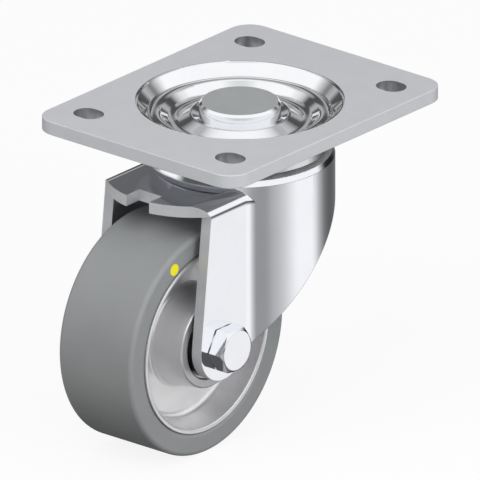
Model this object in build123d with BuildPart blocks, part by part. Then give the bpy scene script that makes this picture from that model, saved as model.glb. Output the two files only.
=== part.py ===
"""Swivel caster with a bolt-on top plate, a pressed steel fork and a 100 mm wheel.

Millimetres. X runs along the wheel axle, Y along the direction of travel, Z up.
The origin is on the swivel axis, in the plane of the top plate's upper face.
"""

import os
from math import acos, atan2, cos, degrees, hypot, radians, sin, sqrt, tan

from build123d import *

# Top plate
plate_width = 110.0
plate_length = 140.0
plate_thickness = 6.0
plate_corner = 10.0
plate_edge = 0.4
slot_pitch_x = 77.5
slot_pitch_y = 105.0
slot_width = 11.0
slot_length = 13.5

# Fork sheet and its shape
sheet = 5.0
bend_radius = 7.0
head_top_depth = 21.0
head_bevel_height = 2.6
head_bevel_width = 1.0
head_edge = 0.4
head_step = 3.0
head_side_gap = 3.0
crown_ledge = 1.0
side_bend = 8.0
apron_radius = 37.0
apron_overhang = 22.3
notch_width = 12.5
notch_depth = 9.0
leg_end_radius = 15.0
leg_end_finish = 315.0
tail_height = 10.0
tail_bulge = 1.4

# Swivel bearing
track_clearance = 0.15
upper_ball_radius = 5.0
upper_pitch_radius = 29.0
upper_ball_count = 18
lower_ball_radius = 4.0
lower_pitch_radius = 24.0
lower_ball_count = 18
lower_ball_sink_head = 0.7
lower_ball_sink_race = 1.3
race_wall = 5.0
race_ball_gap = 1.2
race_lip = 2.8
race_lip_gap = 1.5
race_fillet = 2.0

# King pin
pin_radius = 17.15
pin_top_depth = 0.4
pin_chamfer = 1.0
pin_flange_width = 2.85
pin_flange_height = 2.25
pin_shank_radius = 16.0
pin_spigot_radius = 12.0
pin_hole_clearance = 2.0
rivet_radius = 15.0
rivet_height = 3.5
rivet_edge = 2.5

# Pressed dish in the plate, depths below the upper face
boss_depth = 14.25
boss_seat_depth = 11.0
boss_wall = 1.8
dish_foot_width = 2.6
dish_foot_depth = 5.3
dish_slope_width = 5.0
dish_slope_offset = 0.8
dish_blend_width = 2.6
bead_inset = 0.4
bead_depth = 3.6
trough_inset = 0.6
trough_depth = 8.9
collar_width = 3.65
collar_depth = 5.3
collar_inner_depth = 6.8
dish_edge = 1.6
foot_fillet = 1.0
bead_fillet = 4.0
trough_fillet = 4.0
collar_fillet = 1.6

# Dust ring pressed over the boss
dust_ring_wall = 1.55
dust_ring_gap = 1.3
press_clearance = 0.05

# Wheel
wheel_radius = 50.0
wheel_width = 40.0
wheel_offset = 45.0
wheel_head_gap = 3.0
tread_edge = 2.0
tyre_thickness = 9.75
lip_width = 1.95
rim_wall = 4.05
web_thickness = 14.0
rim_fillet = 3.0
rim_edge = 0.8
rim_corner = 0.3
hub_length = 45.0
hub_wall = 3.8
hub_draft = 1.8
hub_fillet = 2.0
hub_leg_gap = 1.5

# Paint mark on the tyre
mark_radius = 2.6
mark_height = 4.25
mark_angle = 29.0
mark_thickness = 0.4
mark_pocket = 0.3

# Axle
bolt_radius = 5.93
bolt_end_reach = 2.0
bolt_end_chamfer = 1.0
hex_flats = 18.0
hex_face_inset = 0.35
hex_bevel = 30.0
bolt_head_height = 7.4
head_seat_height = 0.4
head_seat_inset = 0.35
axle_hole_clearance = 0.27
sleeve_clearance = 0.17
sleeve_wall = 1.4
inner_spacer_wall = 2.0
nut_height = 9.5
nut_collar_inset = 0.6
nut_collar_height = 3.0
insert_wall = 1.57
insert_height = 2.4

# Wheel bearings
bearing_section = 8.5
bearing_width = 9.0
bearing_recess = 1.0
bearing_ball_radius = 2.38
bearing_ball_count = 9
bearing_clearance = 0.05
bearing_step = 2.0
inner_shoulder = 1.75
outer_shoulder = 1.85
seal_thickness = 0.7
seal_recess = 0.3
seal_gap = 0.15
cage_wall = 1.4
cage_gap = 0.3
cage_clearance = 0.15

# Small broken edges
turned_edge = 0.4
thin_edge = 0.2

# Levels, from the plate down to the wheel
plate_top = 0.0
plate_bottom = plate_top - plate_thickness
boss_bottom = plate_top - boss_depth
head_top = plate_top - head_top_depth
head_bottom = head_top - sheet
fork_top = head_top - head_step
fork_ceiling = fork_top - sheet
upper_ball_z = (boss_bottom + head_top) / 2
lower_ball_z = head_bottom - lower_ball_radius + lower_ball_sink_head
race_top = lower_ball_z - lower_ball_radius + lower_ball_sink_race
race_bottom = race_top - race_wall
race_lip_top = head_bottom - race_lip_gap
axle_y = -wheel_offset
axle_z = race_bottom - wheel_head_gap - wheel_radius

# Radii about the swivel axis
race_inner_radius = lower_pitch_radius + lower_ball_radius + race_ball_gap
race_outer_radius = race_inner_radius + race_lip
head_inner_radius = race_outer_radius + head_side_gap
head_radius = head_inner_radius + sheet
boss_radius = upper_pitch_radius + upper_ball_radius + boss_wall
dust_ring_inner = boss_radius + press_clearance
dish_foot_radius = boss_radius + dish_foot_width
dish_radius = dish_foot_radius + dish_slope_width
blend_radius = dish_radius + dish_blend_width
slope_foot_radius = dish_radius + dish_slope_offset

# Radii about the axle, and places along it
sleeve_bore_radius = bolt_radius + sleeve_clearance
bearing_bore_radius = sleeve_bore_radius + sleeve_wall
bearing_outer_radius = bearing_bore_radius + bearing_section
bearing_pitch_radius = (bearing_bore_radius + bearing_outer_radius) / 2
inner_ring_radius = bearing_pitch_radius - inner_shoulder
outer_ring_radius = bearing_pitch_radius + outer_shoulder
hub_radius = bearing_outer_radius + hub_wall
tyre_bore_radius = wheel_radius - tyre_thickness
hub_half = hub_length / 2
wheel_half = wheel_width / 2
leg_inner = hub_half + hub_leg_gap
leg_outer = leg_inner + sheet
bearing_outer_x = hub_half - bearing_recess
bearing_inner_x = bearing_outer_x - bearing_width
bearing_mid_x = (bearing_outer_x + bearing_inner_x) / 2

axle_plane = Plane(origin=(0, axle_y, axle_z), x_dir=(1, 0, 0), z_dir=(0, -1, 0))
axle_axis = Axis((0, axle_y, axle_z), (1, 0, 0))


def across_axle(x):
    """Plane square to the axle at x, with its local X along travel and its local Y up."""
    return Plane(origin=(x, axle_y, axle_z), x_dir=(0, 1, 0), z_dir=(1, 0, 0))


def head_ring(inner_radius, outer_radius, low, high):
    """Plain ring about the swivel axis, with its outer corners rounded."""
    with BuildPart() as ring:
        with BuildSketch(Plane.XZ) as section:
            with Locations((inner_radius, low)):
                Rectangle(outer_radius - inner_radius, high - low, align=(Align.MIN, Align.MIN))
            fillet(section.vertices().group_by(Axis.X)[-1], turned_edge)
        revolve(axis=Axis.Z)
    return ring.part


def axle_ring(inner_radius, outer_radius, start_x, end_x, chamfer_size=0.0):
    """Plain ring about the axle between two places along it."""
    with BuildPart() as ring:
        with BuildSketch(axle_plane) as section:
            with Locations((start_x, inner_radius)):
                Rectangle(end_x - start_x, outer_radius - inner_radius, align=(Align.MIN, Align.MIN))
            if chamfer_size > 0:
                chamfer(section.vertices(), chamfer_size)
        revolve(axis=axle_axis)
    return ring.part


def head_track(pitch_radius, ball_radius, level):
    """Ball track about the swivel axis, cut from the part that is being built."""
    with Locations((0, 0, level)):
        Torus(pitch_radius, ball_radius + track_clearance, mode=Mode.SUBTRACT)


def hexagon(start_x, height):
    """Hexagon along the axle with its outer corners bevelled round the face."""
    side = 1 if height > 0 else -1
    corner_radius = hex_flats / 2 / cos(radians(30))
    face_radius = hex_flats / 2 - hex_face_inset
    bevel = (corner_radius - face_radius) * tan(radians(hex_bevel))
    end_x = start_x + height
    with BuildPart() as nut:
        with BuildSketch(across_axle(start_x)):
            RegularPolygon(hex_flats / 2, 6, major_radius=False)
        extrude(amount=height)
        with BuildSketch(axle_plane):
            with BuildLine():
                Polyline(
                    (start_x, 0),
                    (start_x, corner_radius),
                    (end_x - side * bevel, corner_radius),
                    (end_x, face_radius),
                    (end_x, 0),
                    close=True,
                )
            make_face()
        revolve(axis=axle_axis, mode=Mode.INTERSECT)
    return nut.part


pieces = {}

# Top plate, a pressed sheet with a dished centre that carries the upper ball track
with BuildPart() as top_plate:
    with BuildSketch():
        RectangleRounded(plate_width, plate_length, plate_corner)
    extrude(amount=-plate_thickness)
    fillet(top_plate.faces().filter_by(Axis.Z).edges(), plate_edge)
    with BuildSketch():
        Circle(blend_radius)
        with GridLocations(slot_pitch_x, slot_pitch_y, 2, 2):
            SlotOverall(slot_length, slot_width)
    extrude(amount=-plate_thickness, mode=Mode.SUBTRACT)
    with BuildSketch(Plane.XZ):
        with BuildLine():
            upper = FilletPolyline(
                (blend_radius, plate_top),
                (dish_radius, plate_top),
                (dish_foot_radius, plate_top - dish_foot_depth),
                (boss_radius - bead_inset, plate_top - bead_depth),
                (upper_pitch_radius - trough_inset, plate_top - trough_depth),
                (pin_radius + collar_width, plate_top - collar_depth),
                (pin_radius, plate_top - collar_inner_depth),
                radius=[dish_edge, foot_fillet, bead_fillet, trough_fillet, collar_fillet],
            )
            Polyline(
                upper @ 1,
                (pin_radius, boss_bottom),
                (boss_radius, boss_bottom),
                (boss_radius, plate_top - boss_seat_depth),
                (dish_foot_radius, plate_top - boss_seat_depth),
                (slope_foot_radius, plate_bottom),
                (blend_radius, plate_bottom),
                upper @ 0,
            )
        make_face()
    revolve(axis=Axis.Z)
    head_track(upper_pitch_radius, upper_ball_radius, upper_ball_z)
pieces["top_plate"] = top_plate.part

# Dust ring, pressed over the boss under the plate
pieces["dust_ring"] = head_ring(
    dust_ring_inner,
    dust_ring_inner + dust_ring_wall,
    head_top + dust_ring_gap,
    plate_top - boss_seat_depth,
)

# King pin, turned in one piece and riveted over under the lower race
with BuildPart() as king_pin:
    with BuildSketch(Plane.XZ) as section:
        with BuildLine():
            Polyline(
                (0, plate_top - pin_top_depth),
                (pin_radius - pin_chamfer, plate_top - pin_top_depth),
                (pin_radius, plate_top - pin_top_depth - pin_chamfer),
                (pin_radius, boss_bottom),
                (pin_radius + pin_flange_width, boss_bottom),
                (pin_radius + pin_flange_width, boss_bottom - pin_flange_height),
                (pin_shank_radius, boss_bottom - pin_flange_height),
                (pin_shank_radius, race_top),
                (pin_spigot_radius, race_top),
                (pin_spigot_radius, race_bottom),
                (rivet_radius, race_bottom),
                (rivet_radius, race_bottom - rivet_height),
                (0, race_bottom - rivet_height),
                close=True,
            )
        make_face()
        fillet(section.vertices().group_by(Axis.Y)[0].sort_by(Axis.X)[-1], rivet_edge)
    revolve(axis=Axis.Z)
pieces["king_pin"] = king_pin.part

# Lower race, a cup clamped by the rivet
with BuildPart() as lower_race:
    with BuildSketch(Plane.XZ) as section:
        with BuildLine():
            Polyline(
                (pin_spigot_radius, race_top),
                (race_inner_radius, race_top),
                (race_inner_radius, race_lip_top),
                (race_outer_radius, race_lip_top),
                (race_outer_radius, race_bottom),
                (pin_spigot_radius, race_bottom),
                close=True,
            )
        make_face()
        fillet(section.vertices().sort_by(Axis.X)[-2:].sort_by(Axis.Y)[0], race_fillet)
    revolve(axis=Axis.Z)
    head_track(lower_pitch_radius, lower_ball_radius, lower_ball_z)
pieces["lower_race"] = lower_race.part

# Swivel balls, a full ring of loose balls above and below the fork's head
with BuildPart(Plane.XY.offset(upper_ball_z)) as upper_balls:
    with PolarLocations(upper_pitch_radius, upper_ball_count):
        Sphere(upper_ball_radius)
pieces["upper_balls"] = upper_balls.part

with BuildPart(Plane.XY.offset(lower_ball_z)) as lower_balls:
    with PolarLocations(lower_pitch_radius, lower_ball_count):
        Sphere(lower_ball_radius)
pieces["lower_balls"] = lower_balls.part

# Fork, one pressed sheet: a round head with a raised crown, a skirt round the back,
# two flat legs and a notched apron over the front of the wheel
apron_front_y = axle_y - apron_overhang
apron_centre_y = apron_front_y + apron_radius
apron_corner_y = apron_centre_y - sqrt(apron_radius**2 - leg_outer**2)
fork_reach = sheet - apron_front_y
fork_depth = fork_top - axle_z + leg_end_radius + sheet
head_reach = head_radius + sheet
headroom = head_top + sheet


def fork_plan(round_radius, half_width, concave_radius):
    """Round head with a straight run to the front, its two inner corners bent smoothly."""
    join_y = -sqrt(round_radius**2 - half_width**2)
    with BuildSketch() as plan:
        Circle(round_radius)
        Rectangle(2 * half_width, fork_reach, align=(Align.CENTER, Align.MAX))
        fillet(plan.vertices().filter_by(lambda v: abs(v.Y - join_y) < 0.01), concave_radius)
    return plan.sketch


leg_end_start = degrees(
    atan2(fork_ceiling - axle_z, apron_corner_y - axle_y)
    + acos(leg_end_radius / hypot(fork_ceiling - axle_z, apron_corner_y - axle_y))
)

with BuildPart() as fork:
    with BuildSketch(Plane.XY.offset(fork_top)):
        add(fork_plan(head_radius, leg_outer, side_bend))
    extrude(amount=-fork_depth)
    top_rim = fork.edges().group_by(Axis.Z)[-1]
    fillet(top_rim.sort_by(Axis.Y)[1:], bend_radius)
    with BuildSketch(Plane.XZ) as crown:
        with Locations((0, head_top)):
            Rectangle(head_radius, head_step + bend_radius, align=(Align.MIN, Align.MAX))
        chamfer(
            crown.vertices().group_by(Axis.X)[-1].sort_by(Axis.Y)[-1], head_bevel_height, head_bevel_width
        )
        fillet(crown.vertices().sort_by(Axis.Y)[2:].sort_by(Axis.X)[1:], head_edge)
    revolve(axis=Axis.Z)
    with BuildSketch(Plane.XY.offset(fork_ceiling)):
        add(fork_plan(head_inner_radius, leg_inner, side_bend + sheet))
    extrude(amount=-fork_depth, mode=Mode.SUBTRACT)
    with BuildSketch(Plane.XY.offset(fork_ceiling)):
        Circle(head_inner_radius - crown_ledge)
    extrude(amount=head_bottom - fork_ceiling, mode=Mode.SUBTRACT)
    with BuildSketch(Plane.YZ):
        with BuildLine():
            end_arc = CenterArc(
                (axle_y, axle_z), leg_end_radius, leg_end_start, leg_end_finish - leg_end_start
            )
            tail = SagittaArc(end_arc @ 1, (head_radius, head_top - tail_height), tail_bulge)
            Polyline(
                tail @ 1,
                (head_reach, head_top - tail_height),
                (head_reach, headroom),
                (-fork_reach, headroom),
                (-fork_reach, fork_ceiling),
                (apron_corner_y, fork_ceiling),
                end_arc @ 0,
            )
        make_face()
    extrude(amount=head_reach, both=True, mode=Mode.INTERSECT)
    with BuildSketch(Plane.XY.offset(fork_ceiling)):
        with Locations((0, -head_radius)):
            Rectangle(2 * head_radius, fork_reach, align=(Align.CENTER, Align.MAX))
        with Locations((0, apron_centre_y)):
            Circle(apron_radius, mode=Mode.SUBTRACT)
        with Locations((0, apron_front_y + notch_depth)):
            Rectangle(notch_width, 2 * notch_depth, align=(Align.CENTER, Align.MAX))
    extrude(amount=headroom - fork_ceiling, mode=Mode.SUBTRACT)
    with Locations((0, 0, head_top)):
        Cylinder(pin_shank_radius + pin_hole_clearance, 2 * fork_depth, mode=Mode.SUBTRACT)
    head_track(upper_pitch_radius, upper_ball_radius, upper_ball_z)
    head_track(lower_pitch_radius, lower_ball_radius, lower_ball_z)
    with BuildSketch(across_axle(0)):
        Circle(bolt_radius + axle_hole_clearance)
    extrude(amount=2 * leg_outer, both=True, mode=Mode.SUBTRACT)
pieces["fork"] = fork.part

# Rim, cast in one piece with a dish each side and a hub for the two bearings
web_half = web_thickness / 2
bearing_stop_radius = bearing_outer_radius - bearing_step
with BuildPart() as rim:
    with BuildSketch(axle_plane) as section:
        with BuildLine():
            FilletPolyline(
                (0, tyre_bore_radius),
                (wheel_half, tyre_bore_radius),
                (wheel_half, tyre_bore_radius - lip_width),
                (web_half, tyre_bore_radius - rim_wall),
                (web_half, hub_radius + hub_draft),
                (hub_half, hub_radius),
                (hub_half, bearing_outer_radius),
                (bearing_inner_x, bearing_outer_radius),
                (bearing_inner_x, bearing_stop_radius),
                (0, bearing_stop_radius),
                radius=[
                    rim_corner,
                    rim_edge,
                    rim_fillet,
                    hub_fillet,
                    rim_edge,
                    rim_corner,
                    0,
                    rim_corner,
                ],
            )
            Line((0, bearing_stop_radius), (0, tyre_bore_radius))
        make_face()
        mirror(about=Plane.YZ)
    revolve(axis=axle_axis)
pieces["rim"] = rim.part

# Tyre, bonded round the rim, with a shallow pocket for the paint mark
mark_ring_radius = tyre_bore_radius + mark_height
mark_y = axle_y - mark_ring_radius * sin(radians(mark_angle))
mark_z = axle_z + mark_ring_radius * cos(radians(mark_angle))
mark_plane = Plane(origin=(wheel_half - mark_pocket, mark_y, mark_z), z_dir=(1, 0, 0))
with BuildPart() as tyre:
    with BuildSketch(axle_plane) as section:
        with Locations((0, tyre_bore_radius)):
            Rectangle(wheel_width, wheel_radius - tyre_bore_radius, align=(Align.CENTER, Align.MIN))
        fillet(section.vertices().group_by(Axis.Z)[-1], tread_edge)
    revolve(axis=axle_axis)
    with BuildSketch(mark_plane):
        Circle(mark_radius)
    extrude(amount=wheel_half, mode=Mode.SUBTRACT)
pieces["tyre"] = tyre.part

with BuildPart() as paint_mark:
    with BuildSketch(mark_plane):
        Circle(mark_radius)
    extrude(amount=mark_thickness)
pieces["paint_mark"] = paint_mark.part

# Wheel bearings, one each side, with balls, a cage and two seals
cage_width = bearing_width - 2 * (seal_recess + seal_thickness + cage_gap)
for side, sign in (("left", -1), ("right", 1)):
    start_x, end_x = sorted((sign * bearing_inner_x, sign * bearing_outer_x))
    middle = across_axle(sign * bearing_mid_x)

    with BuildPart() as outer_ring:
        add(axle_ring(outer_ring_radius, bearing_outer_radius, start_x, end_x, turned_edge))
        with Locations(middle):
            Torus(bearing_pitch_radius, bearing_ball_radius + bearing_clearance, mode=Mode.SUBTRACT)
    pieces[f"outer_ring_{side}"] = outer_ring.part

    with BuildPart() as inner_ring:
        add(axle_ring(bearing_bore_radius, inner_ring_radius, start_x, end_x, turned_edge))
        with Locations(middle):
            Torus(bearing_pitch_radius, bearing_ball_radius + bearing_clearance, mode=Mode.SUBTRACT)
    pieces[f"inner_ring_{side}"] = inner_ring.part

    with BuildPart(middle) as balls:
        with PolarLocations(bearing_pitch_radius, bearing_ball_count):
            Sphere(bearing_ball_radius)
    pieces[f"bearing_balls_{side}"] = balls.part

    with BuildPart(middle) as cage:
        Cylinder(bearing_pitch_radius + cage_wall / 2, cage_width)
        Cylinder(bearing_pitch_radius - cage_wall / 2, cage_width, mode=Mode.SUBTRACT)
        with PolarLocations(bearing_pitch_radius, bearing_ball_count):
            Cylinder(
                bearing_ball_radius + cage_clearance,
                2 * cage_wall,
                rotation=(0, 90, 0),
                mode=Mode.SUBTRACT,
            )
    pieces[f"bearing_cage_{side}"] = cage.part

    for place, low_x in (
        ("outer", end_x - seal_recess - seal_thickness if sign > 0 else start_x + seal_recess),
        ("inner", start_x + seal_recess if sign > 0 else end_x - seal_recess - seal_thickness),
    ):
        pieces[f"{place}_seal_{side}"] = axle_ring(
            inner_ring_radius + seal_gap, outer_ring_radius, low_x, low_x + seal_thickness, thin_edge
        )

    collar_start, collar_end = sorted((sign * bearing_outer_x, sign * leg_inner))
    pieces[f"end_collar_{side}"] = axle_ring(
        bearing_bore_radius, inner_ring_radius, collar_start, collar_end, thin_edge
    )

# Axle sleeve between the legs, and the spacer between the inner rings
pieces["axle_sleeve"] = axle_ring(sleeve_bore_radius, bearing_bore_radius, -leg_inner, leg_inner)
pieces["inner_spacer"] = axle_ring(
    bearing_bore_radius, bearing_bore_radius + inner_spacer_wall, -bearing_inner_x, bearing_inner_x
)

# Axle bolt, with its head outside the right leg
nut_end = -leg_outer - nut_height - nut_collar_height
with BuildPart() as axle_bolt:
    add(hexagon(leg_outer + head_seat_height, bolt_head_height - head_seat_height))
    add(axle_ring(0, hex_flats / 2 - head_seat_inset, leg_outer, leg_outer + head_seat_height))
    add(axle_ring(0, bolt_radius, nut_end - bolt_end_reach, leg_outer))
    chamfer(axle_bolt.edges().group_by(Axis.X)[0], bolt_end_chamfer)
pieces["axle_bolt"] = axle_bolt.part

# Lock nut outside the left leg, and its plastic insert
insert_radius = bolt_radius + insert_wall
insert_start = nut_end + (nut_collar_height - insert_height) / 2
with BuildPart() as axle_nut:
    add(hexagon(-leg_outer, -nut_height))
    add(axle_ring(0, hex_flats / 2 - nut_collar_inset, nut_end, -leg_outer - nut_height))
    add(axle_ring(0, bolt_radius, nut_end, -leg_outer), mode=Mode.SUBTRACT)
    add(axle_ring(0, insert_radius, insert_start, insert_start + insert_height), mode=Mode.SUBTRACT)
pieces["axle_nut"] = axle_nut.part
pieces["nut_insert"] = axle_ring(bolt_radius, insert_radius, insert_start, insert_start + insert_height)

os.makedirs("parts", exist_ok=True)
for name, piece in pieces.items():
    piece.label = name
    export_step(piece, f"parts/{name}.step")
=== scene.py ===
"""Swivel caster in a plain white studio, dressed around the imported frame."""

from math import cos, hypot, pi, radians, sin

import bpy
from mathutils import Matrix, Vector


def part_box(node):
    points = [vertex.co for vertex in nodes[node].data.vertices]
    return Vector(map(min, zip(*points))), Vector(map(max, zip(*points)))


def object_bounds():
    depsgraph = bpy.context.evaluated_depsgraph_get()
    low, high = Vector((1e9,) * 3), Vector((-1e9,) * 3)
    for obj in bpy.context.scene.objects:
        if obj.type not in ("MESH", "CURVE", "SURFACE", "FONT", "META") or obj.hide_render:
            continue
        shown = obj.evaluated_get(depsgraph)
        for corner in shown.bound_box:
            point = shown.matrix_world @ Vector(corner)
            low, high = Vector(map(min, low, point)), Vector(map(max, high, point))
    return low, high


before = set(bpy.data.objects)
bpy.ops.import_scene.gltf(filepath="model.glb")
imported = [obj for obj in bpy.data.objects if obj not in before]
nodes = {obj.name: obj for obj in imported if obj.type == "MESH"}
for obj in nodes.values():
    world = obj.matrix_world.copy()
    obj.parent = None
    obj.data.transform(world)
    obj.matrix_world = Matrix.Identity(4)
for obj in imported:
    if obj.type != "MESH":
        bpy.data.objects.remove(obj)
cad_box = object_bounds()

# Camera, in degrees and metres
VIEW_AZIMUTH = 40.0
VIEW_ELEVATION = 22.0
VIEW_SPAN = 0.20126
VIEW_DROP = 0.05874
CAMERA_DISTANCE = 1.2
CAMERA_REACH = 20.0

# Floor and world: sizes in metres, shades and strengths from 0 to 1
FLOOR_SPAN = 8.0
FLOOR_WHITE = 0.95
FLOOR_FOR_OBJECT = 0.28
FLOOR_GLOW = 0.88
WORLD_FILL = 0.80
WORLD_WHITE = 1.0
LEFT_FILL, RIGHT_FILL = 0.62, 1.08

# Soft boxes: place, size in metres, power in watts
BOX_TARGET = (0, 0, -0.06)
KEY_BOX = ((0.1, -1.0, 1.3), 1.2, 10.0)
SIDE_BOX = ((1.4, -0.5, 0.6), 1.0, 12.0)

# Grey of the dome for matt surfaces, by height from -1 straight down to 1 straight up
GLOW = [(-1.0, 0.3), (-0.4, 0.45), (0.0, 0.85), (0.30, 1.0), (0.7, 0.8), (1.0, 0.6)]

# What metal sees: greys of the walls round the object by degrees, and the rest by height
WALLS = [
    (-180, 0.62), (-130, 0.74), (-90, 0.76), (-62, 0.78), (-46, 0.55), (-35, 0.34),
    (-20, 0.31), (-12, 0.42), (5, 0.64), (20, 0.96), (40, 1.14), (52, 0.92), (60, 0.54),
    (73, 0.16), (95, 0.08), (130, 0.25), (180, 0.62),
]
WALL_FALL = [
    (-1.0, 0.14), (-0.80, 0.17), (-0.62, 0.52), (-0.45, 0.92), (-0.37, 1.0), (-0.27, 0.95),
    (-0.20, 0.55), (-0.13, 0.14), (-0.03, 0.10), (0.0, 0.12), (1.0, 0.12),
]
SCREENS = [(-180, 1.0), (-132, 1.0), (-120, 0.10), (-70, 0.10), (-56, 1.0), (180, 1.0)]
DOME = [(-1.0, 0.9), (0.03, 0.9), (0.12, 1.08), (0.97, 1.08), (1.0, 0.75)]
ROOM = [
    (-1.0, 0.08), (0.06, 0.08), (0.18, 0.10), (0.27, 0.50), (0.34, 0.40), (0.40, 0.10),
    (0.50, 0.08), (0.60, 0.42), (0.68, 0.60), (0.78, 0.26), (0.90, 0.80), (1.0, 0.80),
]
SCREEN_TOP = (0.36, 0.46)
ROOM_EDGE = (0.30, 0.60)
HORIZON = (0.0, 0.08)

# Places on the pieces, in metres
FLOOR_Z = cad_box[0][2]
PLATE_HALF_X, PLATE_HALF_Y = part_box("top_plate")[1][:2]
PLATE_TOP_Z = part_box("top_plate")[1][2]
SLOT_MARGIN = 0.003
DISH_EDGE_RADIUS = 0.0443
PIN_TOP_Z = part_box("king_pin")[1][2]
HUB_END_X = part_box("rim")[1][0]
HEAD_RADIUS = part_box("fork")[1][1]
CROWN_TOP_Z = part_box("fork")[1][2]
CROWN_EDGE_RADIUS = 0.0388
CROWN_FOOT_Z = -0.030
TRACK_RADIUS = 0.034
LEG_INNER_X = 0.024
APRON_BACK_Y = -0.050
SHEET = 0.005
CLOSE = 0.0003

# Parts of a face's normal that tell how it lies to an axis
ALONG = 0.01
NEARLY_ALONG = 0.05
SLANTED = 0.5
NEARLY_SQUARE = 0.9
SQUARE = 0.99
FLAT = 0.9995

# Noise: the texture's own roughness, and the middle range that most of it lies in
NOISE_ROUGHNESS = 0.55
NOISE_LOW, NOISE_HIGH = 0.3, 0.7
NOISE_DETAIL = 4.0
EDGE_SAMPLES = 6


def nodes_of(name):
    """New empty material with its node tree and its principled shader."""
    material = bpy.data.materials.new(name)
    material.use_nodes = True
    tree = material.node_tree
    return material, tree, tree.nodes["Principled BSDF"]


def add_node(tree, kind, **values):
    """Adds a node and sets its inputs by name and its properties by attribute."""
    node = tree.nodes.new(kind)
    for key, value in values.items():
        if hasattr(node, key):
            setattr(node, key, value)
        else:
            node.inputs[key.replace("_", " ")].default_value = value
    return node


def object_coordinates(tree):
    """Object coordinates, which are the row's own metres for every piece."""
    return add_node(tree, "ShaderNodeTexCoord").outputs["Object"]


def noise(tree, scale, detail=NOISE_DETAIL, stretch=None):
    """Fractal noise over the object, optionally stretched along its axes."""
    texture = add_node(
        tree, "ShaderNodeTexNoise", Scale=scale, Detail=detail, Roughness=NOISE_ROUGHNESS
    )
    source = object_coordinates(tree)
    if stretch:
        mapping = add_node(tree, "ShaderNodeMapping", Scale=stretch)
        tree.links.new(source, mapping.inputs["Vector"])
        source = mapping.outputs["Vector"]
    tree.links.new(source, texture.inputs["Vector"])
    return texture.outputs["Fac"]


def remap(tree, source, low, high, from_low=NOISE_LOW, from_high=NOISE_HIGH):
    """Maps a source's range, or a noise's middle range, to a range of values."""
    mapped = add_node(
        tree, "ShaderNodeMapRange",
        From_Min=from_low, From_Max=from_high, To_Min=low, To_Max=high,
    )
    tree.links.new(source, mapped.inputs["Value"])
    return mapped.outputs["Result"]


def mottle(tree, shader, source, dark, light):
    """Base colour that wanders between two close colours."""
    ramp = add_node(tree, "ShaderNodeValToRGB")
    first, last = ramp.color_ramp.elements
    first.position, first.color = NOISE_LOW, (*dark, 1)
    last.position, last.color = NOISE_HIGH, (*light, 1)
    tree.links.new(source, ramp.inputs["Fac"])
    tree.links.new(ramp.outputs["Color"], shader.inputs["Base Color"])


def bump(tree, shader, source, height, strength, under=None):
    """Bump of a height in metres, on top of an earlier bump if there is one."""
    node = add_node(tree, "ShaderNodeBump", Strength=strength, Distance=height)
    tree.links.new(source, node.inputs["Height"])
    if under is not None:
        tree.links.new(under, node.inputs["Normal"])
    tree.links.new(node.outputs["Normal"], shader.inputs["Normal"])
    return node.outputs["Normal"]


def rounded_edges(tree, radius):
    """Normal that rounds sharp corners by a hair, inside and out, as plating does."""
    return add_node(tree, "ShaderNodeBevel", samples=EDGE_SAMPLES, Radius=radius).outputs["Normal"]


def relief(scale, height, strength, detail=3.0, stretch=None):
    """One layer of a finish's skin: its noise, and its height in metres."""
    return {
        "scale": scale, "height": height, "strength": strength,
        "detail": detail, "stretch": stretch,
    }


def make_finish(
    name, dark, light, clouds, rough, patches,
    skin=(), metallic=0.0, specular=None, cloud_detail=NOISE_DETAIL, edge=0.0,
):
    """Clouded colour and patchy roughness, with layers of skin over an edge that may be rounded."""
    material, tree, shader = nodes_of(name)
    shader.inputs["Metallic"].default_value = metallic
    if specular is not None:
        shader.inputs["Specular IOR Level"].default_value = specular
    mottle(tree, shader, noise(tree, clouds, cloud_detail), dark, light)
    tree.links.new(remap(tree, noise(tree, patches), *rough), shader.inputs["Roughness"])
    under = rounded_edges(tree, edge) if edge > 0 else None
    for layer in skin:
        source = noise(tree, layer["scale"], layer["detail"], layer["stretch"])
        under = bump(tree, shader, source, layer["height"], layer["strength"], under)
    return material


def matt_zinc():
    """Satin zinc plating of the pressed plate: fine grain and faint clouding."""
    return make_finish(
        "matt_zinc", (0.625, 0.64, 0.665), (0.65, 0.665, 0.69), clouds=90.0,
        rough=(0.46, 0.54), patches=400.0, metallic=0.25, specular=0.35,
        skin=[relief(scale=3500.0, height=0.000006, strength=0.5, detail=2.0)],
    )


def bright_zinc(name, dark, light, rough, edge=0.0):
    """Bright zinc plating: a mirror with faint clouding and hair-fine drawing marks."""
    marks = relief(scale=900.0, height=0.000001, strength=0.4, stretch=(1.0, 1.0, 0.08))
    swell = relief(scale=45.0, height=0.000006, strength=0.25, detail=2.0)
    return make_finish(
        name, dark, light, clouds=60.0, rough=rough, patches=260.0,
        metallic=1.0, skin=[marks, swell], edge=edge,
    )


def sheared_edge():
    """Sheared and plated edge of the sheet: satin, with fine lines across it."""
    return make_finish(
        "sheared_edge", (0.66, 0.67, 0.69), (0.73, 0.74, 0.76), clouds=150.0,
        rough=(0.42, 0.54), patches=500.0, metallic=0.6,
        skin=[relief(scale=2200.0, height=0.000008, strength=0.5, stretch=(0.15, 1.0, 1.0))],
    )


def punched_wall_painted_shade():
    """Torn and plated wall of a punched hole, with lines along the punch's way; its darker grey is
    painted shade of the slot's inside.
    """
    return make_finish(
        "punched_wall_painted_shade", (0.42, 0.43, 0.44), (0.52, 0.53, 0.54), clouds=200.0,
        rough=(0.34, 0.46), patches=500.0, metallic=0.9,
        skin=[relief(scale=2200.0, height=0.000008, strength=0.5, stretch=(1.0, 1.0, 0.15))],
    )


def satin_track():
    """Greased satin steel of the ball track."""
    return make_finish(
        "satin_track", (0.76, 0.76, 0.77), (0.83, 0.83, 0.84), clouds=200.0,
        rough=(0.25, 0.35), patches=500.0, metallic=0.4,
        skin=[relief(scale=2200.0, height=0.000006, strength=0.4)],
    )


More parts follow.
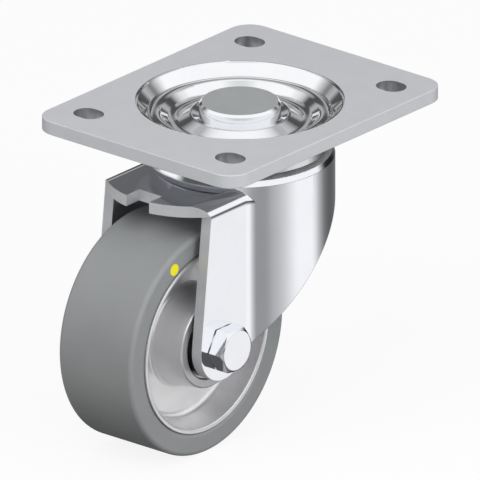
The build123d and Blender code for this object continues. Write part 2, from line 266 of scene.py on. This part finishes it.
def pin_steel():
    """Satin end of the king pin with rings left by turning."""
    material = make_finish(
        "pin_steel", (0.50, 0.52, 0.53), (0.54, 0.56, 0.57), clouds=120.0,
        rough=(0.40, 0.50), patches=500.0, metallic=0.5,
    )
    tree = material.node_tree
    rings = add_node(
        tree, "ShaderNodeTexWave",
        wave_type="RINGS", rings_direction="Z", Scale=900.0, Distortion=0.4,
    )
    tree.links.new(object_coordinates(tree), rings.inputs["Vector"])
    shader = tree.nodes["Principled BSDF"]
    bump(tree, shader, rings.outputs["Fac"], height=0.000004, strength=0.4)
    return material


def rubber(name, dark, light, rough):
    """Matt moulded rubber with a fine skin and faint bloom."""
    fine = relief(scale=2600.0, height=0.00001, strength=0.5)
    swell = relief(scale=180.0, height=0.00002, strength=0.25)
    return make_finish(
        name, dark, light, clouds=35.0, rough=rough, patches=300.0,
        skin=[fine, swell], cloud_detail=6.0,
    )


def cast_aluminium(name, dark, light):
    """Fine cast aluminium: satin, with the grain of the die's skin."""
    fine = relief(scale=1800.0, height=0.00001, strength=0.5)
    swell = relief(scale=250.0, height=0.00002, strength=0.3)
    return make_finish(
        name, dark, light, clouds=70.0, rough=(0.28, 0.37), patches=350.0,
        metallic=0.75, skin=[fine, swell],
    )


def plastic(name, dark, light):
    """Plain moulded plastic or paint with a slight orange skin."""
    return make_finish(
        name, dark, light, clouds=400.0, rough=(0.40, 0.50), patches=700.0,
        skin=[relief(scale=1500.0, height=0.000008, strength=0.4, detail=2.0)],
    )


def in_dish(centre, normal):
    """The drawn middle of the plate, which is bright where the flat of it is satin."""
    on_top = normal.z > FLAT and centre.z > PLATE_TOP_Z - CLOSE
    looks_up = normal.z > NEARLY_ALONG
    return looks_up and hypot(centre.x, centre.y) < DISH_EDGE_RADIUS and not on_top


def in_slot(centre, normal):
    """The punched walls of the plate's slots."""
    inside_x = abs(centre.x) < PLATE_HALF_X - SLOT_MARGIN
    inside_y = abs(centre.y) < PLATE_HALF_Y - SLOT_MARGIN
    outside_dish = hypot(centre.x, centre.y) > DISH_EDGE_RADIUS + CLOSE
    return inside_x and inside_y and outside_dish and abs(normal.z) < SLANTED


def on_hub_face(centre, normal):
    """The turned end of the rim's hub."""
    return abs(normal.x) > NEARLY_SQUARE and abs(centre.x) > HUB_END_X - CLOSE


def on_pin_end(centre, normal):
    """The flat upper end of the king pin."""
    return normal.z > SQUARE and centre.z > PIN_TOP_Z - CLOSE


def on_crown_top(centre, normal):
    """The flat of the fork's crown and the ball track in it, under the plate."""
    return centre.z > CROWN_TOP_Z - SHEET and hypot(centre.x, centre.y) < CROWN_EDGE_RADIUS


def on_sheared_edge(centre, normal):
    """The fork's sheared edges: the outline of its legs and skirt, the apron's front, the notch."""
    radius = hypot(centre.x, centre.y)
    if radius < TRACK_RADIUS and centre.z > CROWN_FOOT_Z:
        return False
    across = abs(normal.x)
    if across < ALONG:
        flat = abs(normal.z) > SQUARE and centre.z > CROWN_FOOT_Z
        from_wall = min(abs(radius - HEAD_RADIUS), abs(radius - HEAD_RADIUS + SHEET))
        wall = from_wall < CLOSE and abs(centre.x) < SHEET
        return not (flat or wall)
    beside = across < NEARLY_SQUARE or abs(centre.x) < LEG_INNER_X - SHEET
    return abs(normal.z) < NEARLY_ALONG and centre.y < APRON_BACK_Y and beside


def finish_faces(node, finish, chosen):
    """Gives the chosen faces of a node a second finish."""
    mesh = node.data
    mesh.materials.append(finish)
    place = len(mesh.materials) - 1
    for face in mesh.polygons:
        if chosen(face.center, face.normal):
            face.material_index = place


def dress():
    """Gives every node of the frame its finish."""
    chrome = bright_zinc(
        "bright_zinc", (0.88, 0.89, 0.93), (0.91, 0.92, 0.96), (0.06, 0.10), edge=0.0004
    )
    drawn = bright_zinc("drawn_zinc", (0.84, 0.85, 0.87), (0.88, 0.89, 0.91), (0.04, 0.07))
    bolt = bright_zinc(
        "bolt_zinc", (0.88, 0.89, 0.92), (0.92, 0.93, 0.96), (0.05, 0.09), edge=0.0003
    )
    # The dust ring's plating is greyer than the other zinc: painted shade of the gap under the
    # plate.
    ring = bright_zinc("ring_zinc_painted_shade", (0.68, 0.69, 0.71), (0.72, 0.73, 0.75), (0.12, 0.18))
    balls = bright_zinc("ball_steel", (0.34, 0.34, 0.35), (0.40, 0.40, 0.41), (0.16, 0.24))
    seals = rubber("seal_rubber", (0.012, 0.012, 0.013), (0.022, 0.022, 0.023), (0.39, 0.51))
    tyre = rubber("tyre_rubber", (0.262, 0.272, 0.275), (0.292, 0.302, 0.305), (0.44, 0.56))
    finishes = {
        "top_plate": matt_zinc(),
        "king_pin": drawn,
        "dust_ring": ring,
        "tyre": tyre,
        "rim": cast_aluminium("cast_aluminium", (0.76, 0.76, 0.77), (0.84, 0.84, 0.85)),
        "paint_mark": plastic("yellow_paint", (0.93, 0.837, 0.0093), (1.0, 0.90, 0.010)),
        "nut_insert": plastic("insert_plastic", (0.0465, 0.1116, 0.3906), (0.05, 0.12, 0.42)),
    }
    for name, node in nodes.items():
        if name in finishes:
            finish = finishes[name]
        elif "seal" in name or "cage" in name:
            finish = seals
        elif "ball" in name or "ring_" in name:
            finish = balls
        elif name in ("axle_bolt", "axle_nut"):
            finish = bolt
        else:
            finish = chrome
        node.data.materials.clear()
        node.data.materials.append(finish)
    finish_faces(nodes["top_plate"], drawn, in_dish)
    finish_faces(nodes["king_pin"], pin_steel(), on_pin_end)
    finish_faces(nodes["fork"], sheared_edge(), on_sheared_edge)
    finish_faces(nodes["fork"], satin_track(), on_crown_top)
    # The slot walls take a darker grey: painted shade inside the plate's slots.
    finish_faces(nodes["top_plate"], punched_wall_painted_shade(), in_slot)
    turned = cast_aluminium("turned_aluminium", (0.50, 0.50, 0.51), (0.56, 0.56, 0.57))
    finish_faces(nodes["rim"], turned, on_hub_face)


def levels(tree, source, stops, smooth=False):
    """Grey levels by place along a value from 0 to 1."""
    ramp = add_node(tree, "ShaderNodeValToRGB")
    ramp.color_ramp.interpolation = "B_SPLINE" if smooth else "LINEAR"
    elements = ramp.color_ramp.elements
    for place, _ in stops[1:-1]:
        elements.new(place)
    for element, (place, level) in zip(elements, stops):
        element.position = place
        element.color = (level, level, level, 1)
    tree.links.new(source, ramp.inputs["Fac"])
    return ramp.outputs["Color"]


def by_height(tree, height, stops):
    """Grey levels by the height of a direction, from -1 straight down to 1 straight up."""
    whole = remap(tree, height, 0.0, 1.0, -1.0, 1.0)
    return levels(tree, whole, [((place + 1) / 2, level) for place, level in stops])


def by_degrees(tree, around, stops, smooth=False):
    """Grey levels by a direction's degrees, from -180 to 180, given as a value from 0 to 1."""
    return levels(tree, around, [((angle + 180) / 360, level) for angle, level in stops], smooth)


def blend(tree, share, first, second, **settings):
    """Colour that is the first at a share of 0 and the second at a share of 1."""
    mixed = add_node(tree, "ShaderNodeMix", data_type="RGBA", **settings)
    if isinstance(share, float):
        mixed.inputs["Factor"].default_value = share
    else:
        tree.links.new(share, mixed.inputs["Factor"])
    tree.links.new(first, mixed.inputs["A"])
    tree.links.new(second, mixed.inputs["B"])
    return mixed.outputs["Result"]


def studio_gloss(tree, direction, parts):
    """What the metal sees: a white dome, the grey room behind, a dark horizon, and walls below."""
    height = parts.outputs["Z"]
    turn = add_node(tree, "ShaderNodeMath", operation="ARCTAN2")
    tree.links.new(parts.outputs["Y"], turn.inputs[0])
    tree.links.new(parts.outputs["X"], turn.inputs[1])
    around = remap(tree, turn.outputs["Value"], 0.0, 1.0, -pi, pi)
    walls = by_degrees(tree, around, WALLS, smooth=True)
    below = blend(tree, 1.0, walls, by_height(tree, height, WALL_FALL), blend_type="MULTIPLY")

    over_screens = remap(tree, height, 0.0, 1.0, *SCREEN_TOP)
    screens = by_degrees(tree, around, SCREENS)
    dome = blend(tree, over_screens, screens, by_height(tree, height, DOME))

    backward = add_node(tree, "ShaderNodeVectorMath", operation="DOT_PRODUCT")
    tree.links.new(direction, backward.inputs[0])
    away = radians(VIEW_AZIMUTH + 90)
    backward.inputs[1].default_value = (cos(away), sin(away), 0.0)
    behind = remap(tree, backward.outputs["Value"], 0.0, 1.0, *ROOM_EDGE)
    sky = blend(tree, behind, dome, by_height(tree, height, ROOM))
    return blend(tree, remap(tree, height, 0.0, 1.0, *HORIZON), below, sky)


def background(tree, colour, strength):
    """Background of one colour, or of a colour that is linked in."""
    shader = add_node(tree, "ShaderNodeBackground", Strength=strength)
    if isinstance(colour, tuple):
        shader.inputs["Color"].default_value = (*colour, 1)
    else:
        tree.links.new(colour, shader.inputs["Color"])
    return shader.outputs["Background"]


def choose(tree, switch, plain, other):
    """Shader that is plain, or other where the switch is on."""
    mixed = add_node(tree, "ShaderNodeMixShader")
    tree.links.new(switch, mixed.inputs["Fac"])
    tree.links.new(plain, mixed.inputs[1])
    tree.links.new(other, mixed.inputs[2])
    return mixed.outputs["Shader"]


def studio_world():
    """White for the camera, a soft dome for matt surfaces, and the studio's walls for metal."""
    world = bpy.data.worlds.new("studio")
    bpy.context.scene.world = world
    world.use_nodes = True
    tree = world.node_tree
    tree.nodes.clear()
    parts = add_node(tree, "ShaderNodeSeparateXYZ")
    direction = add_node(tree, "ShaderNodeTexCoord").outputs["Generated"]
    tree.links.new(direction, parts.inputs["Vector"])
    glow = by_height(tree, parts.outputs["Z"], GLOW)
    sideways = remap(tree, parts.outputs["X"], LEFT_FILL, RIGHT_FILL, -1.0, 1.0)
    dome = blend(tree, 1.0, glow, sideways, blend_type="MULTIPLY")
    fill = background(tree, dome, WORLD_FILL)
    gloss = background(tree, studio_gloss(tree, direction, parts), 1.0)
    white = background(tree, (1.0, 1.0, 1.0), WORLD_WHITE)
    ray = add_node(tree, "ShaderNodeLightPath")
    lit = choose(tree, ray.outputs["Is Glossy Ray"], fill, gloss)
    shown = choose(tree, ray.outputs["Is Camera Ray"], lit, white)
    out = add_node(tree, "ShaderNodeOutputWorld")
    tree.links.new(shown, out.inputs["Surface"])


def floor():
    """White floor with a faint shadow for the camera, and a greyer one for the object's light."""
    bpy.ops.mesh.primitive_plane_add(size=FLOOR_SPAN, location=(0, 0, FLOOR_Z))
    plane = bpy.context.object
    plane.name = "floor"
    material, tree, shader = nodes_of("floor_white")
    shader.inputs["Roughness"].default_value = 1.0
    shader.inputs["Specular IOR Level"].default_value = 0.0
    ray = add_node(tree, "ShaderNodeLightPath").outputs["Is Camera Ray"]
    grey = (FLOOR_FOR_OBJECT, FLOOR_FOR_OBJECT, FLOOR_FOR_OBJECT, 1)
    white = (FLOOR_WHITE, FLOOR_WHITE, FLOOR_WHITE, 1)
    tint = add_node(tree, "ShaderNodeMix", data_type="RGBA", A=grey, B=white)
    tree.links.new(ray, tint.inputs["Factor"])
    tree.links.new(tint.outputs["Result"], shader.inputs["Base Color"])
    shine = add_node(tree, "ShaderNodeEmission", Strength=1.0)
    share = remap(tree, ray, 0.0, FLOOR_GLOW, 0.0, 1.0)
    surface = choose(tree, share, shader.outputs["BSDF"], shine.outputs["Emission"])
    tree.links.new(surface, tree.nodes["Material Output"].inputs["Surface"])
    plane.data.materials.append(material)
    plane.visible_glossy = False


def soft_box(name, place, size, power):
    """Square area lamp aimed at the object's middle, which shows in no reflection."""
    lamp = bpy.data.lights.new(name, "AREA")
    lamp.shape = "SQUARE"
    lamp.size = size
    lamp.energy = power
    lamp.specular_factor = 0.0
    holder = bpy.data.objects.new(name, lamp)
    holder.location = place
    aim = Vector(BOX_TARGET) - Vector(place)
    holder.rotation_euler = aim.to_track_quat("-Z", "Y").to_euler()
    holder.visible_glossy = False
    bpy.context.scene.collection.objects.link(holder)


def camera():
    """Orthographic camera at the photograph's angle."""
    azimuth = radians(VIEW_AZIMUTH)
    elevation = radians(VIEW_ELEVATION)
    back = Vector((sin(azimuth) * cos(elevation), -cos(azimuth) * cos(elevation), sin(elevation)))
    right = Vector((cos(azimuth), sin(azimuth), 0.0))
    up = back.cross(right)
    data = bpy.data.cameras.new("camera")
    data.type = "ORTHO"
    data.ortho_scale = VIEW_SPAN
    data.clip_end = CAMERA_REACH
    holder = bpy.data.objects.new("camera", data)
    turn = Matrix((right, up, back)).transposed().to_4x4()
    holder.matrix_world = Matrix.Translation(back * CAMERA_DISTANCE - up * VIEW_DROP) @ turn
    bpy.context.scene.collection.objects.link(holder)
    bpy.context.scene.camera = holder


dress()
studio_world()
floor()
soft_box("key_box", *KEY_BOX)
soft_box("side_box", *SIDE_BOX)
camera()
bpy.context.scene.view_settings.view_transform = "Standard"
